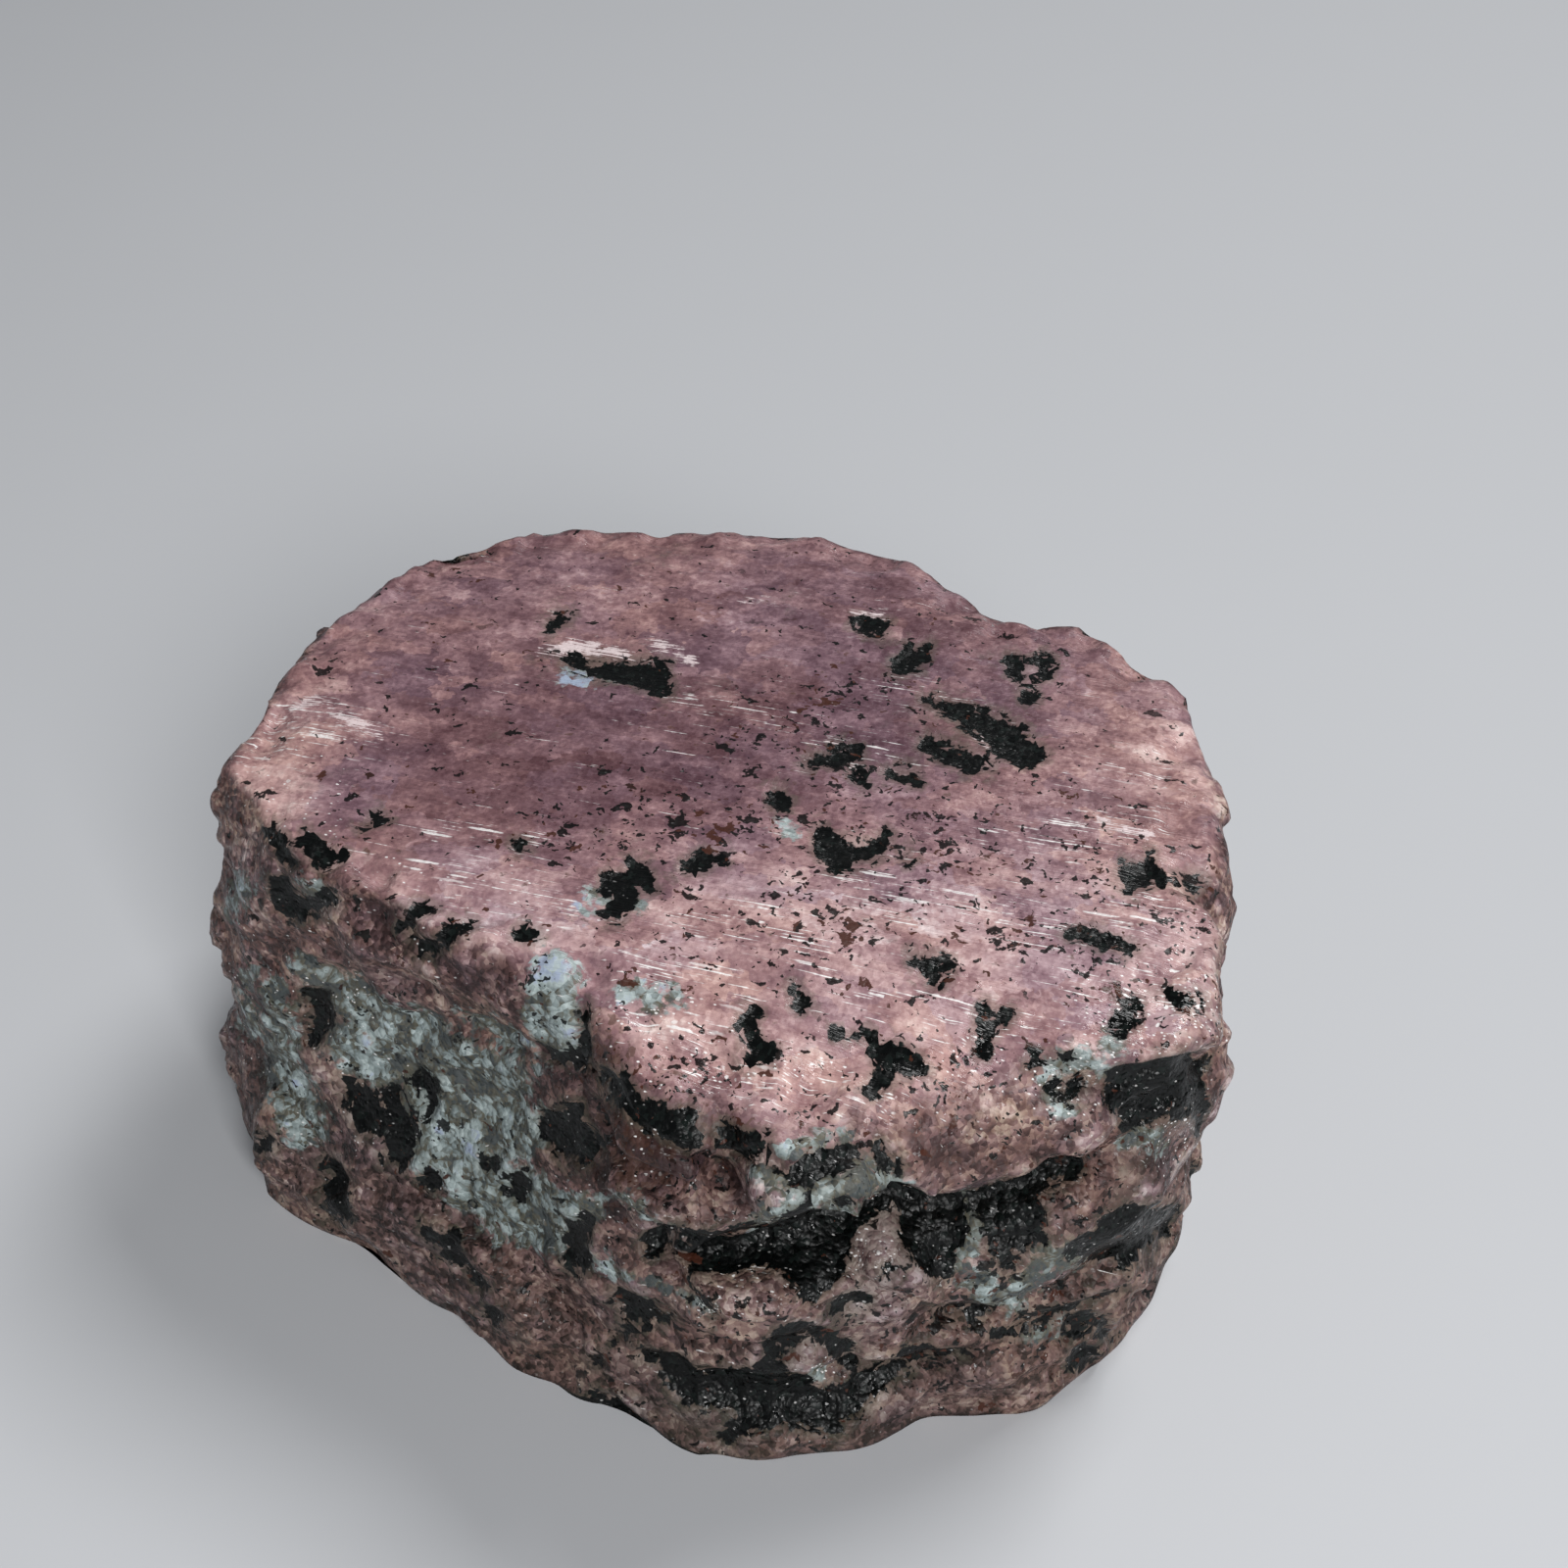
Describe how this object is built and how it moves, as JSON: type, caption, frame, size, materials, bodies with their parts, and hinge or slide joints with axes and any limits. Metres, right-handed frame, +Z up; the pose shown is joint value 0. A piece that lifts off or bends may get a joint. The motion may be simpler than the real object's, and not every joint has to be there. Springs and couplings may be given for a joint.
{
  "type": "ruby crystal specimen",
  "caption": "Rough ruby crystal specimen: an irregular prism with a ground flat top, lobed and ledged sides, black hornblende and pale rock grown through it.",
  "frame": {"origin": "middle of the stone's bounding box, on the plane it rests on", "axes": "+Z up from the flat base to the ground face, the stone's height; +X along its longest side; -Y towards the layered front wall"},
  "size_m": [0.0721, 0.0626, 0.0341],
  "materials": {
    "ruby": "rough mauve-pink corundum with black and pale blue-grey inclusions, satin on the ground face"
  },
  "bodies": {
    "root": {"ruby_crystal": "ruby"}
  },
  "joints": []
}
